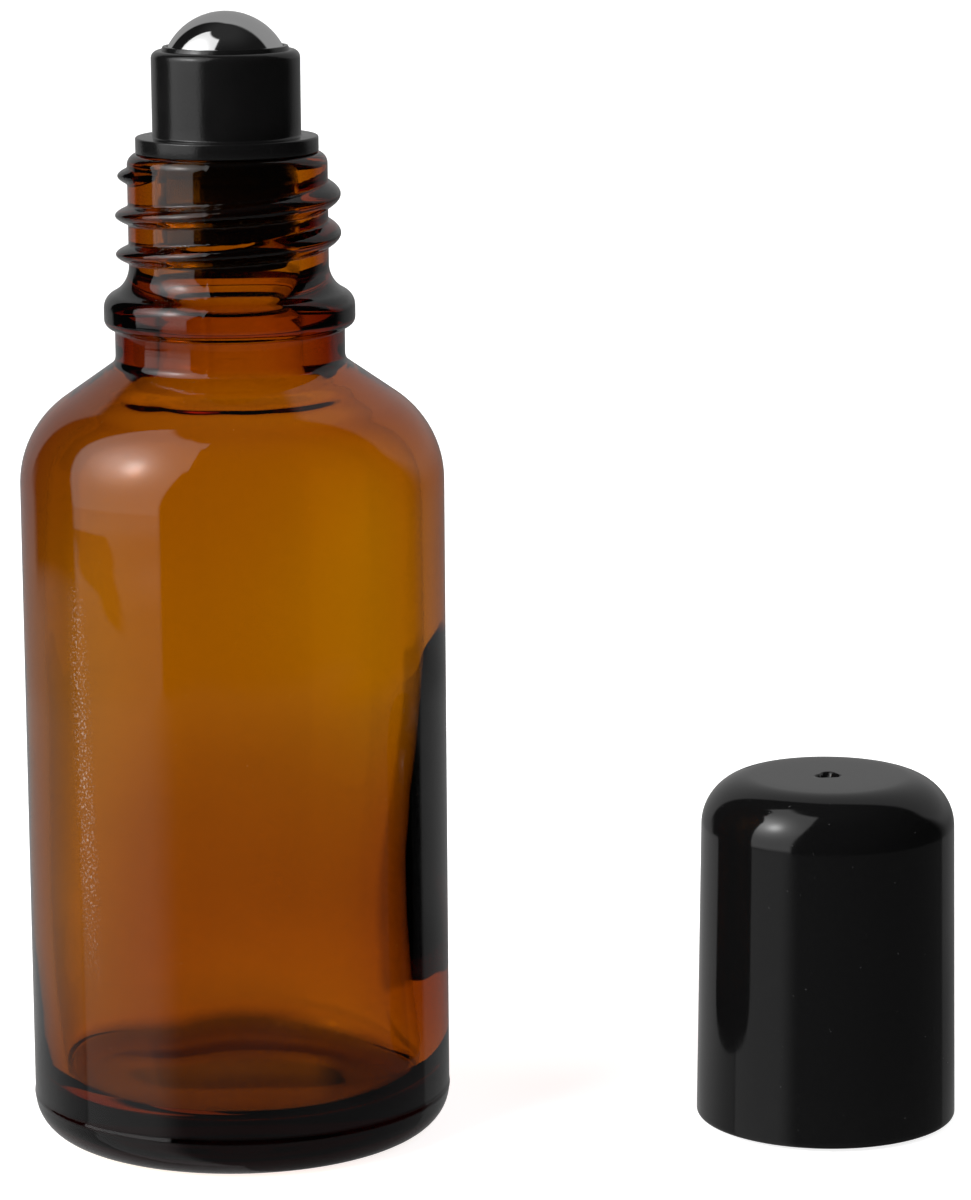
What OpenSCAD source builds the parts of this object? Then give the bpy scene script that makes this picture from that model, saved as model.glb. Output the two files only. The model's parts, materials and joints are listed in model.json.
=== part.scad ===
// Glass roll on bottle: a threaded bottle, a push-in roller housing, a steel ball and a screw cap.
// The cap stands beside the bottle, mouth down. Origin: centre of the ring that the bottle stands on.

/* [Bottle body] */
// Outside diameter of the glass body
body_d = 33; // [31:0.5:36]
// Height of the rim above the surface that the bottle stands on
bottle_h = 77.5; // [74:0.5:90]
// Thickness of the glass in the side wall
body_wall = 2; // [1.4:0.1:2.6]
// Thickness of the glass over the standing ring
base_wall = 4; // [3:0.25:5]
// Radius of the heel between the side and the standing ring
heel_r = 3; // [2:0.25:4]
// Radius of the corner between the side and the floor inside
floor_r = 2.5; // [1.5:0.25:3.5]
// Width of the flat ring that the bottle stands on
ring_w = 2; // [1:0.25:3]
// Rise of the hollow in the middle of the base
punt_h = 0.8; // [0.4:0.1:1.4]
// Radius of the round part of the shoulder
shoulder_r = 8; // [6:0.5:9]
// Slope of the straight part of the shoulder, in degrees from level
shoulder_slope = 35; // [30:1:40]
// Radius of the hollow curve between the shoulder and the neck
neck_fillet_r = 0.9; // [0.5:0.1:1.2]
// Radius of the curve inside, where the neck opens into the body
throat_r = 3; // [2:0.25:4]

/* [Bottle neck] */
// Diameter of the neck below the bead
neck_d = 17.8; // [17.4:0.1:18.6]
// Height of the plain neck below the bead
collar_h = 2.6; // [2:0.1:4]
// Distance from the rim down to the underside of the bead
finish_h = 13.5; // [13:0.25:16]
// Diameter of the bead
bead_d = 19.45; // [19:0.05:20.5]
// Height of the bead
bead_h = 2.9; // [2.6:0.1:3.2]
// Radius of the bead's lower edge
bead_low_r = 0.75; // [0.4:0.05:0.8]
// Radius of the bead's upper edge
bead_high_r = 1.3; // [1:0.05:1.6]
// Radius of the hollow sweep from the bead up to the thread
flare_r = 2.3; // [1.8:0.1:2.6]
// Diameter of the neck between the turns of the thread
root_d = 15.45; // [15:0.05:16]
// Diameter of the hole through the neck
bore_d = 11; // [10.4:0.1:11.4]
// Radius of the outer edge of the rim
rim_r = 0.9; // [0.5:0.1:1.2]
// Radius of the inner edge of the rim
rim_inner_r = 0.5; // [0.3:0.1:0.8]

/* [Screw thread] */
// Rise of the thread in one turn
thread_pitch = 3; // [2.8:0.05:3.2]
// Height of the glass thread above the neck
thread_h = 0.98; // [0.8:0.02:1.1]
// Width of the glass thread where it meets the neck
thread_w = 1.7; // [1.3:0.05:1.9]
// Turns of the glass thread
thread_turns = 2.3; // [1.5:0.1:2.4]
// Distance from the rim down to the thread's highest point
thread_drop = 1.75; // [1.5:0.05:2.2]
// Gap between the glass thread and the cap
thread_gap = 0.3; // [0.2:0.05:0.4]

/* [Roller housing] */
// Diameter of the cup that holds the ball
cup_d = 11.45; // [11.3:0.05:11.9]
// Height of the cup's shoulder above the rim
cup_h = 7.85; // [7.7:0.05:8.1]
// Radius of the cup's upper edge
cup_edge_r = 0.6; // [0.3:0.1:0.8]
// Height of the lip above the cup's shoulder
lip_h = 0.3; // [0.15:0.05:0.4]
// Width of the lip that keeps the ball in
lip_w = 0.45; // [0.3:0.05:0.5]
// Diameter of the flange that sits on the rim
flange_d = 14.1; // [13.6:0.1:14.6]
// Thickness of the flange
flange_t = 1.25; // [1:0.05:1.5]
// Length of the plug below the rim
plug_h = 8.7; // [8.3:0.1:10]
// Wall of the plug
plug_wall = 0.9; // [0.7:0.05:1.1]
// Height of the sealing fins on the plug
fin_h = 0.3; // [0.2:0.05:0.4]
// Length of the taper that leads the plug in
lead_h = 2.6; // [1.6:0.1:2.8]
// Amount by which the taper narrows the plug's radius
lead_w = 0.65; // [0.4:0.05:0.8]
// Radial clearance between the fins and the neck
plug_gap = 0.04; // [0.02:0.01:0.08]
// Thickness of the cup's floor below the ball
cup_floor = 1.2; // [1:0.1:1.5]
// Diameter of the feed hole in the middle of the cup's floor
feed_d = 2.4; // [1.6:0.1:3]
// Width of the grooves that carry the liquid up the cup
groove_w = 0.8; // [0.6:0.1:1]
// Number of grooves in the cup
groove_count = 4; // [3:1:6]

/* [Ball] */
// Diameter of the ball
ball_d = 10; // [9.8:0.05:10.1]
// Height of the ball's centre above the rim
ball_rise = 5.8; // [5.7:0.05:5.9]
// Radial clearance round the ball in the cup
ball_gap = 0.06; // [0.04:0.01:0.1]

/* [Cap] */
// Height of the cap
cap_h = 27.6; // [26.5:0.1:29]
// Outside diameter at the mouth
cap_mouth_d = 20.6; // [20.4:0.1:22]
// Outside diameter at the top, before the edge is rounded
cap_top_d = 20; // [19.6:0.1:20.4]
// Radius of the cap's upper edge
cap_edge_r = 4; // [3:0.25:5]
// Thickness of the cap's top
cap_top_t = 1.6; // [1.2:0.1:2]
// Height of the threaded skirt inside the cap
skirt_h = 11; // [10:0.25:12]
// Turns of the cap's thread
cap_turns = 1.6; // [1.2:0.1:1.8]
// Wall of the cap above the thread
cap_wall = 1.3; // [1:0.1:1.6]
// Diameter of the ring in the cap that presses on the ball
seal_d = 6.4; // [6:0.1:7]
// Wall of that ring
seal_wall = 0.9; // [0.6:0.1:1.2]
// Diameter of the moulding mark in the middle of the cap's top
gate_d = 1.8; // [1.2:0.1:2.4]
// Depth of the moulding mark
gate_t = 0.5; // [0.3:0.1:0.7]
// Distance from the bottle's axis to the cap's axis, to the right
cap_x = 46.6; // [36:0.2:60]
// Distance of the cap's axis behind the bottle's axis
cap_y = 0.4; // [0:0.1:4]
// Gap under the cap's mouth, so that the surface below carries the bottle alone
cap_z = 0.3; // [0.25:0.05:0.5]

/* [Hidden] */

// Overrun of every cut past the face that it opens
over = 0.2;
// Depth to which a thread's foot is sunk in its wall
foot_h = 0.3;
// Height of the bevel round the cap's mouth
mouth_bevel = 0.3;
// Radius of the edges of the flange
flange_edge_r = 0.15;
// Height of one sealing fin
fin_band = 0.9;
// Width of the cap's thread at its wall
cap_thread_w = 1.5;
// Gap between the ring in the cap and the unpressed ball
seal_gap = 0.05;

// Places of the sealing fins along the plug, as shares of its length below the rim
FIN_SHARES = [0.2, 0.4, 0.6];
// Turn of the highest end of the glass thread, in degrees, counted from +X
thread_end_angle = 210;
// Part of a turn in which a thread fades out
fade_turn_share = 0.14;
// Steps in one full turn of a thread
turn_steps = 48;
// Steps across a thread's round back
back_steps = 6;
// Steps in a quarter of a round edge
arc_steps = 8;
// Fineness of whole circles
$fn = 96;

body_r = body_d / 2;
neck_r = neck_d / 2;
bead_r = bead_d / 2;
root_r = root_d / 2;
bore_r = bore_d / 2;
crest_r = root_r + thread_h;
ball_r = ball_d / 2;

// Heights on the bottle, from the rim down
bead_bottom_z = bottle_h - finish_h;
bead_top_z = bead_bottom_z + bead_h;
neck_bottom_z = bead_bottom_z - collar_h;
thread_top_z = bottle_h - thread_drop;

// The shoulder: an arc that ends where the slope starts, then the slope up to the neck
arc_turn = 90 - shoulder_slope;
slope_r = body_r - shoulder_r * (1 - cos(arc_turn));
slope_z = neck_bottom_z - (slope_r - neck_r) * tan(shoulder_slope);
side_z = slope_z - shoulder_r * sin(arc_turn);
// Distance along both lines from their corner to a fillet's ends
fillet_reach = neck_fillet_r * tan(arc_turn / 2);
throat_reach = throat_r * tan(arc_turn / 2);

// The bead's upper edge and the sweep above it are circles that touch
bead_centre = [bead_r - bead_high_r, bead_top_z - bead_high_r];
flare_dx = root_r + flare_r - bead_centre.x;
flare_dz = sqrt(pow(bead_high_r + flare_r, 2) - pow(flare_dx, 2));
flare_turn = atan2(flare_dz, flare_dx);

// The inside of the bottle
cavity_r = body_r - body_wall;
cavity_arc_r = shoulder_r - body_wall;
cavity_side_z = side_z;
cavity_slope_r = cavity_r - cavity_arc_r * (1 - cos(arc_turn));
cavity_slope_z = cavity_side_z + cavity_arc_r * sin(arc_turn);
cavity_top_z = cavity_slope_z + (cavity_slope_r - bore_r) * tan(shoulder_slope);
ring_outer_r = body_r - heel_r;
ring_inner_r = ring_outer_r - ring_w;

// The roller housing, seated on the rim
rim_z = bottle_h;
flange_top_z = rim_z + flange_t;
cup_top_z = rim_z + cup_h;
lip_top_z = cup_top_z + lip_h;
ball_z = rim_z + ball_rise;
socket_r = ball_r + ball_gap;
cup_r = cup_d / 2;
flange_r = flange_d / 2;
fin_r = bore_r - plug_gap;
plug_r = fin_r - fin_h;
plug_bottom_z = rim_z - plug_h;
plug_tip_r = plug_r - lead_w;
hollow_r = plug_r - plug_wall;
hollow_tip_r = plug_tip_r - plug_wall / 2;
hollow_top_z = ball_z - socket_r - cup_floor;
lip_inner_r = sqrt(pow(socket_r, 2) - pow(lip_top_z - ball_z, 2));

// The cap, in its own frame: mouth at zero
cap_mouth_r = cap_mouth_d / 2;
cap_top_r = cap_top_d / 2;
skirt_r = crest_r + thread_gap;
cap_thread_r = root_r + thread_gap;
hollow_cap_r = cap_top_r - cap_wall;
ceiling_z = cap_h - cap_top_t;
ceiling_r = cap_edge_r - cap_wall;
seal_r = seal_d / 2;
seal_outer_r = seal_r + seal_wall;
// Height of the cap's mouth when it is screwed down on the shoulder of the bead
seal_drop = sqrt(pow(ball_r, 2) - pow(seal_r, 2));
cap_seat_z = bead_top_z + thread_gap;
seal_bottom = ball_z + seal_drop - cap_seat_z + seal_gap;
cap_thread_top = skirt_h - cap_thread_w;

function arc(cx, cy, r, from, to, steps = arc_steps) =
    [for (i = [0 : steps]) let (a = from + (to - from) * i / steps) [cx + r * cos(a), cy + r * sin(a)]];

// Outside of the glass, from the middle of the base up to the rim
function glass_outside() = concat(
    [for (i = [0 : arc_steps]) let (s = i / arc_steps)
        [s * ring_inner_r, punt_h * (1 + cos(180 * s)) / 2]],
    arc(ring_outer_r, heel_r, heel_r, -90, 0),
    arc(body_r - shoulder_r, side_z, shoulder_r, 0, arc_turn, arc_steps + 4),
    arc(
        neck_r + neck_fillet_r,
        neck_bottom_z + fillet_reach,
        neck_fillet_r,
        180 + arc_turn,
        180
    ),
    bead_profile(),
    arc(root_r - rim_r, bottle_h - rim_r, rim_r, 0, 90)
);

// The bead: a tight curve below, a full one above, and a sweep in to the threaded neck
function bead_profile() = concat(
    [[neck_r, bead_bottom_z]],
    arc(bead_r - bead_low_r, bead_bottom_z + bead_low_r, bead_low_r, -90, 0, 5),
    arc(bead_centre.x, bead_centre.y, bead_high_r, 0, flare_turn),
    arc(root_r + flare_r, bead_centre.y + flare_dz, flare_r, 180 + flare_turn, 180)
);

// Inside of the glass, from the rim down to the middle of the floor
function glass_inside() = concat(
    arc(bore_r + rim_inner_r, bottle_h - rim_inner_r, rim_inner_r, 90, 180),
    arc(bore_r + throat_r, cavity_top_z + throat_reach, throat_r, 180, 180 + arc_turn),
    arc(cavity_r - cavity_arc_r, cavity_side_z, cavity_arc_r, arc_turn, 0),
    arc(cavity_r - floor_r, base_wall + floor_r, floor_r, 0, -90),
    [[0, base_wall + punt_h / 2]]
);

// A thread as one swept ridge. side is 1 for a thread outside its wall and -1 for one inside it.
module thread_ridge(wall_r, height, width, turns, top_z, end_angle, side) {
    count = ceil(turns * turn_steps);
    fade = fade_turn_share * turn_steps;
    points = [
        for (i = [0 : count])
            let (
                back = (count - i) / count * turns,
                a = end_angle - 360 * back,
                z = top_z - thread_pitch * back,
                share = sin(90 * min(1, i / fade, (count - i) / fade)),
                rise = (height + foot_h / 2) * share - foot_h / 2,
                half_w = width / 2 * (0.5 + 0.5 * share)
            )
            for (k = [-1 : back_steps + 1])
                let (
                    t = 180 * max(0, min(back_steps, k)) / back_steps,
                    foot = k < 0 || k > back_steps,
                    r = wall_r + side * (foot ? -foot_h : -foot_h / 4 + (rise + foot_h / 4) * sin(t))
                )
                [r * cos(a), r * sin(a), z - half_w * cos(t)]
    ];
    n = back_steps + 3;
    sides = [
        for (i = [0 : count - 1])
            for (k = [0 : n - 1])
                let (p = i * n + k, q = i * n + (k + 1) % n)
                    for (f = [[p, q, p + n], [q, q + n, p + n]]) side > 0 ? f : [f[2], f[1], f[0]]
    ];
    first = [for (k = [0 : n - 1]) k];
    last = [for (k = [0 : n - 1]) count * n + k];
    flip = function (face) [for (k = [len(face) - 1 : -1 : 0]) face[k]];
    ends = side > 0 ? [flip(first), last] : [first, flip(last)];
    polyhedron(points = points, faces = concat(sides, ends), convexity = 8);
}

module bottle() {
    color([0.52, 0.27, 0.06]) {
        rotate_extrude() polygon(concat(glass_outside(), glass_inside()));
        thread_ridge(root_r, thread_h, thread_w, thread_turns, thread_top_z, thread_end_angle, 1);
    }
}

// The housing's section without the ball's socket
function housing_section() = concat(
    [[hollow_tip_r, plug_bottom_z], [plug_tip_r, plug_bottom_z], [plug_r, plug_bottom_z + lead_h]],
    [[plug_r, rim_z]],
    arc(flange_r - flange_edge_r, rim_z + flange_edge_r, flange_edge_r, -90, 0, 2),
    arc(flange_r - flange_edge_r, flange_top_z - flange_edge_r, flange_edge_r, 0, 90, 2),
    [[cup_r, flange_top_z]],
    arc(cup_r - cup_edge_r, cup_top_z - cup_edge_r, cup_edge_r, 0, 90),
    [[lip_inner_r + lip_w, cup_top_z], [lip_inner_r + lip_w * 0.8, lip_top_z], [0, lip_top_z]],
    [[0, hollow_top_z], [hollow_r, hollow_top_z], [hollow_r, plug_bottom_z + lead_h]]
);

// One sealing fin: a shallow ridge round the plug
module plug_fin(z) {
    rotate_extrude()
        polygon([
            [plug_r - foot_h, z - fin_band / 2],
            [plug_r, z - fin_band / 2],
            [fin_r, z - fin_band / 6],
            [fin_r, z + fin_band / 6],
            [plug_r, z + fin_band / 2],
            [plug_r - foot_h, z + fin_band / 2]
        ]);
}

// The space for the ball, with its feed hole and the grooves that carry the liquid up
module ball_socket() {
    translate([0, 0, ball_z]) sphere(r = socket_r);
    translate([0, 0, hollow_top_z - over]) cylinder(d = feed_d, h = cup_floor + 3 * over);
    for (k = [0 : groove_count - 1])
        rotate([0, 0, 360 * k / groove_count])
            translate([0, -groove_w / 2, ball_z - socket_r])
                cube([ball_r - groove_w, groove_w, socket_r / 2]);
}

module roller_housing() {
    color([0.06, 0.06, 0.06])
        difference() {
            union() {
                rotate_extrude() polygon(housing_section());
                for (share = FIN_SHARES) plug_fin(rim_z - share * plug_h);
            }
            ball_socket();
        }
}

module roller_ball() {
    color([0.8, 0.8, 0.8]) translate([0, 0, ball_z]) sphere(r = ball_r);
}

// The cap's section, mouth at zero: skirt for the thread, then the plain wall and the ceiling
function cap_section() = concat(
    [[cap_mouth_r - mouth_bevel, 0], [cap_mouth_r, mouth_bevel]],
    arc(cap_top_r - cap_edge_r, cap_h - cap_edge_r, cap_edge_r, 0, 90, arc_steps + 4),
    [[gate_d / 2, cap_h], [0, cap_h - gate_t], [0, ceiling_z]],
    arc(hollow_cap_r - ceiling_r, ceiling_z - ceiling_r, ceiling_r, 90, 0),
    [[hollow_cap_r, skirt_h + skirt_r - hollow_cap_r], [skirt_r, skirt_h]],
    [[skirt_r, mouth_bevel], [skirt_r + mouth_bevel, 0]]
);

module cap() {
    color([0.03, 0.03, 0.03])
        translate([cap_x, cap_y, cap_z]) {
            rotate_extrude() polygon(cap_section());
            thread_ridge(
                skirt_r,
                skirt_r - cap_thread_r,
                cap_thread_w,
                cap_turns,
                cap_thread_top,
                thread_end_angle,
                -1
            );
            translate([0, 0, seal_bottom])
                difference() {
                    cylinder(r = seal_outer_r, h = ceiling_z - seal_bottom + over);
                    translate([0, 0, -over]) cylinder(r = seal_r, h = ceiling_z - seal_bottom + over);
                }
        }
}

bottle();
roller_housing();
roller_ball();
cap();
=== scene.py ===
"""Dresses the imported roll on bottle: its glass, roller housing, steel ball and screw cap."""

import json
from functools import partial
from math import asin, atan2, cos, degrees, exp, hypot, pi, prod, radians, sin, sqrt, tan

import bpy
from bpy.props import FloatProperty, FloatVectorProperty, PointerProperty
from mathutils import Matrix, Vector, noise

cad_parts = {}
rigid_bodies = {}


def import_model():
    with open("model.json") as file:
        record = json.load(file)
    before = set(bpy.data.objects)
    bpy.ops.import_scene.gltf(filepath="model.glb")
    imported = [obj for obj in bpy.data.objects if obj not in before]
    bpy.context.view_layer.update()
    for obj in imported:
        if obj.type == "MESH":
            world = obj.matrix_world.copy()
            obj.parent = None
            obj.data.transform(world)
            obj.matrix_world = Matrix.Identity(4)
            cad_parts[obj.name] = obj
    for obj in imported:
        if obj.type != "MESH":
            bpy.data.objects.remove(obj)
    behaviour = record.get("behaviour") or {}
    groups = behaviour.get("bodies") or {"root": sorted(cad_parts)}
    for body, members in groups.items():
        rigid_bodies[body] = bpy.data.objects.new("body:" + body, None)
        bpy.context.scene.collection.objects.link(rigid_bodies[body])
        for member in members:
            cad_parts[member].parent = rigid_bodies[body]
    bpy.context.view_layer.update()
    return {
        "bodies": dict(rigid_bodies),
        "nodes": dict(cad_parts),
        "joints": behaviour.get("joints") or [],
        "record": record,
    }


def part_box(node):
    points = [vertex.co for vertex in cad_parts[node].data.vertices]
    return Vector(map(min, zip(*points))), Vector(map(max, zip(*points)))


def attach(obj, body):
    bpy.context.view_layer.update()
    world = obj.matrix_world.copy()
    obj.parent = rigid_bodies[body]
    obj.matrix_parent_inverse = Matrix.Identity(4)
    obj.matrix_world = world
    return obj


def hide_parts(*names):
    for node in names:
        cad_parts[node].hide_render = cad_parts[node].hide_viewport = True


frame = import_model()
BALL_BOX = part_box("roller_ball")
BALL_Z = (BALL_BOX[0].z + BALL_BOX[1].z) / 2
CAP_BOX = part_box("cap")

bl_info = {
    "name": "Roll on bottle",
    "version": (1, 0, 0),
    "blender": (4, 5, 0),
    "location": "View3D > Sidebar > Roll on",
    "description": "Builds a roll on bottle, its roller and its screw cap on the packed model",
    "category": "Object",
}

MM = 0.001
FULL_TURN = 2 * pi
# Points closer than this are one point
WELD = 1e-6
# A point closer than this to a wall lies on it
ON_WALL = 0.02 * MM
# Steps of a full turn
GLASS_STEPS, PLASTIC_STEPS, BALL_STEPS = 240, 192, 160
# Edges of the plastic pieces that are sharper than this, in degrees, stay sharp
SHARP = 35
PLASTIC_IOR = 1.5
WHITE = (1.0, 1.0, 1.0)


def length(name, text, mm):
    """A size that is shown in the scene's length unit and given here in millimetres."""
    return FloatProperty(
        name=name, description=text, default=mm * MM, min=0, precision=5, unit="LENGTH"
    )


def angle(name, text, turn):
    """An angle, given here in degrees."""
    return FloatProperty(name=name, description=text, default=radians(turn), subtype="ANGLE")


def share(name, text, value):
    """A number from 0 to 1."""
    return FloatProperty(name=name, description=text, default=value, min=0, max=1, subtype="FACTOR")


def number(name, text, value, unit="NONE"):
    """A number that is no length, angle or share."""
    return FloatProperty(name=name, description=text, default=value, min=0, unit=unit)


def colour(name, text, rgb):
    """A colour in linear light."""
    return FloatVectorProperty(
        name=name, description=text, default=rgb, min=0, max=1, subtype="COLOR"
    )


def thicknesses(name, text, millimetres):
    """A list of glass thicknesses, one for each height of the wall."""
    sizes = [value * MM for value in millimetres]
    return FloatVectorProperty(
        name=name, description=text, default=sizes, size=len(sizes), unit="LENGTH"
    )


class BottleSizes(bpy.types.PropertyGroup):
    """Sizes of the glass bottle."""

    body_radius: length("Body radius", "Radius of the straight side", 16.5)
    height: length("Height", "Height of the glass, up to the rim", 77.5)
    wall: length("Wall", "Thickness of the glass in the straight side", 2.4)
    wall_start: length("Wall start", "Height of the first of the thicknesses below", 6)
    wall_step: length("Wall step", "Height between two of them", 4)
    front_wall: thicknesses(
        "Front wall",
        "Thickness of the glass at the front and back, upwards",
        (2.6, 3.1, 3.15, 2.95, 2.9, 2.85, 2.65, 2.5, 2.4, 2.4, 2.4, 2.5, 2.55, 2.4),
    )
    right_wall: thicknesses(
        "Right wall",
        "Thickness of the glass at the right, upwards",
        (2.3, 2.75, 2.9, 2.9, 2.8, 2.45, 2.1, 1.85, 1.8, 1.8, 1.8, 1.8, 2.1, 2.4),
    )
    left_wall: thicknesses(
        "Left wall",
        "Thickness of the glass at the left, upwards",
        (2.4, 2.1, 1.9, 1.85, 1.85, 1.85, 1.85, 1.85, 1.85, 1.85, 1.9, 2.1, 2.3, 2.4),
    )
    floor: length("Floor", "Thickness of the glass floor", 4.0)
    heel: length("Heel", "Radius of the outer edge at the bottom", 3.0)
    heel_line: length("Heel line", "Height of the line that the mould leaves over the heel", 3.1)
    heel_line_half: length("Heel line half", "Half the width of that line", 0.22)
    heel_line_rise: length("Heel line rise", "Height of that line over the glass", 0.045)
    floor_edge: length("Floor edge", "Radius of the inner edge at the bottom", 2.5)
    punt: length("Punt", "Height of the hollow under the base", 0.8)
    punt_radius: length("Punt radius", "Radius of the hollow under the base", 11.5)
    shoulder: length("Shoulder", "Radius of the shoulder's curve", 8.0)
    side_top: length("Side top", "Height at which the shoulder starts", 51.914)
    slope: angle("Slope", "How steep the shoulder is below the neck", 35)
    neck_radius: length("Neck radius", "Radius of the plain neck below the bead", 8.9)
    neck_bottom: length("Neck bottom", "Height of the corner between shoulder and neck", 61.4)
    neck_fillet: length("Neck fillet", "Radius of that corner", 0.9)
    bead_radius: length("Bead radius", "Radius of the bead that stops the cap", 9.725)
    bead_bottom: length("Bead bottom", "Height of the bead's lower side", 64.0)
    bead_low: length("Bead low edge", "Radius of the bead's lower edge", 0.75)
    bead_high: length("Bead high edge", "Radius of the bead's upper edge", 1.3)
    bead_middle: length("Bead middle", "Height of the middle of the bead's upper edge", 65.6)
    flare: length("Flare", "Radius of the sweep from the bead to the thread", 2.3)
    root_radius: length("Root radius", "Radius of the neck between the threads", 7.725)
    bore: length("Bore", "Radius of the hole through the neck", 5.5)
    rim: length("Rim", "Radius of the rim's outer edge", 0.9)
    rim_inner: length("Rim inside", "Radius of the rim's inner edge", 0.5)
    bead_corner: length("Bead corner", "Radius of the hollow corner under the bead", 0.3)
    throat: length("Throat", "Radius of the curve from the neck into the body", 3.0)
    ceiling: angle("Ceiling", "How steep the inside is round the throat", 35)
    fold_radius: length("Fold radius", "Radius of the fold inside, in front of the throat", 9.2)
    fold_width: length("Fold width", "Half the width of that fold", 0.55)
    fold: length("Fold", "Height of that fold", 0.3)


class ThreadSizes(bpy.types.PropertyGroup):
    """Sizes of the screw thread on the neck, and of its match in the cap."""

    pitch: length("Pitch", "Rise in one turn", 3.0)
    depth: length("Depth", "Height of the thread over the neck", 0.98)
    half_width: length("Half width", "Half the thread's width, on average", 0.88)
    sway: length("Sway", "How much the half width changes round the neck", 0.14)
    turns: number("Turns", "Length of the thread in turns", 2.3)
    top: length("Top", "Height of the thread's upper end", 75.95)
    end: angle("End", "Direction in which the thread's upper end lies", 210)
    cap_turns: number("Cap turns", "Length of the thread inside the cap in turns", 1.6)
    cap_half_width: length("Cap half width", "Half the width of the thread inside the cap", 0.75)
    cap_top: length("Cap top", "Height of the upper end inside the cap, over its mouth", 9.5)
    seam: length("Seam", "Height of the mould seam on the neck", 0.05)
    body_seam: length("Body seam", "Height of the mould seam on the body", 0.015)
    seam_at: angle("Seam at", "Direction in which the front seam lies", 262.5)


class HousingSizes(bpy.types.PropertyGroup):
    """Sizes of the roller housing that is pressed into the neck."""

    seat: length("Seat", "Height of the rim that it sits on", 77.5)
    flange: length("Flange", "Radius of the flange on the rim", 7.05)
    flange_height: length("Flange height", "Thickness of the flange", 1.25)
    cup: length("Cup", "Outer radius of the cup for the ball", 5.725)
    cup_height: length("Cup height", "Height of the cup over the rim", 7.85)
    cup_edge: length("Cup edge", "Radius of the cup's upper edge", 0.6)
    lip_height: length("Lip height", "Height of the lip over the cup", 0.3)
    lip_width: length("Lip width", "Width of the lip round the ball", 0.45)
    socket: length("Socket", "Radius of the hollow that the ball turns in", 5.06)
    plug: length("Plug", "Radius of the plug in the neck", 5.16)
    plug_height: length("Plug height", "How far the plug reaches into the neck", 8.7)
    plug_tip: length("Plug tip", "Radius of the plug's lower end", 4.51)
    lead: length("Lead", "Height of the slope at the plug's lower end", 2.6)
    fin: length("Fin", "Radius of the sealing fins", 5.46)
    fin_band: length("Fin band", "Width of each sealing fin", 0.9)
    hollow: length("Hollow", "Radius of the hollow in the plug", 4.26)
    hollow_tip: length("Hollow tip", "Radius of that hollow at its lower end", 4.06)
    hollow_top: length("Hollow top", "Height of that hollow's ceiling", 77.04)
    feed: length("Feed", "Radius of the hole that feeds the ball", 1.2)
    groove: length("Groove", "Width of the grooves in the socket", 0.8)


class BallSizes(bpy.types.PropertyGroup):
    """Size of the steel ball."""

    radius: length("Radius", "Radius of the ball", 5.0)


class CapSizes(bpy.types.PropertyGroup):
    """Sizes of the screw cap."""

    mouth: length("Mouth", "Outer radius at the mouth", 10.3)
    top: length("Top", "Outer radius where the top edge begins", 10.0)
    height: length("Height", "Height of the cap", 27.6)
    edge: length("Edge", "Radius of the top edge", 4.0)
    ceiling: length("Ceiling", "Thickness of the top", 1.6)
    wall: length("Wall", "Thickness of the wall over the thread", 1.3)
    skirt: length("Skirt", "Inner radius of the wall that carries the thread", 9.005)
    skirt_height: length("Skirt height", "Height of that wall", 11.0)
    seal: length("Seal", "Inner radius of the ring that closes on the ball", 3.2)
    seal_wall: length("Seal wall", "Thickness of that ring", 0.9)
    seal_bottom: length("Seal bottom", "Height of the ring's lower edge over the mouth", 19.99)
    gate: length("Gate", "Radius of the moulding mark in the top", 0.9)
    gate_depth: length("Gate depth", "Depth of the moulding mark", 0.5)
    bevel: length("Bevel", "Radius of the edges at the mouth", 0.3)


class Finishes(bpy.types.PropertyGroup):
    """Colours and surface of the materials."""

    glass: colour("Glass", "Colour that the glass lets through", (0.925, 0.806, 0.0))
    glass_density: number("Glass density", "How fast the rest is taken, per metre", 2200)
    glass_ior: number("Glass IOR", "Refraction of the glass", 1.51)
    # Painted shade: a tint that darkens the base glass, for the shaded floor seen through it
    painted_base_shade: colour("Painted base shade", "Painted shade that darkens the base, for the dark floor under it", (0.12, 0.2, 0.35))
    housing: colour("Housing", "Colour of the housing's plastic", (0.0035, 0.0035, 0.0036))
    housing_roughness: share("Housing roughness", "Roughness of the housing's plastic", 0.15)
    steel: colour("Steel", "Colour of the ball", (0.7, 0.7, 0.7))
    steel_roughness: share("Steel roughness", "Roughness of the ball", 0.05)
    cap: colour("Cap", "Colour of the cap's plastic", (0.0035, 0.0035, 0.0036))
    cap_roughness: share("Cap roughness", "Roughness of the cap's plastic", 0.07)


class StudioSettings(bpy.types.PropertyGroup):
    """Camera, floor and light."""

    camera_x: length("Camera x", "Camera's place along X", 19.64)
    camera_distance: length("Camera distance", "How far the camera is in front of the axis", 362.56)
    camera_z: length("Camera z", "Camera's height over the floor", 114.04)
    camera_pitch: angle("Camera pitch", "How far the camera looks down", 11.2)
    camera_roll: angle("Camera roll", "How far the camera leans to the right", 0.38)
    lens: number("Lens", "Focal length in millimetres", 94.37)
    floor_size: length("Floor size", "Side of the square floor", 6000)
    floor: share("Floor", "Brightness of the floor", 0.6)
    shade_near: length("Shade near", "Up to here the glass shows the floor under the bottle", 15)
    shade_far: length("Shade far", "From here on the glass shows the bright room instead", 19)
    contact_shade: share("Contact shade", "Share of the floor's brightness under the glass", 0.25)
    floor_lift: number("Floor lift", "Light that only the camera sees on the floor", 0.85)
    key_power: number("Key", "Power of the key lamp", 14, "POWER")
    fill_power: number("Fill", "Power of the fill lamp", 5, "POWER")


# Outlines


def arc(r, z, radius, start, end, steps):
    """Points round (r, z) from the angle start to end, in degrees."""
    turns = [radians(start + (end - start) * i / steps) for i in range(steps + 1)]
    return [(r + radius * cos(t), z + radius * sin(t)) for t in turns]


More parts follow.
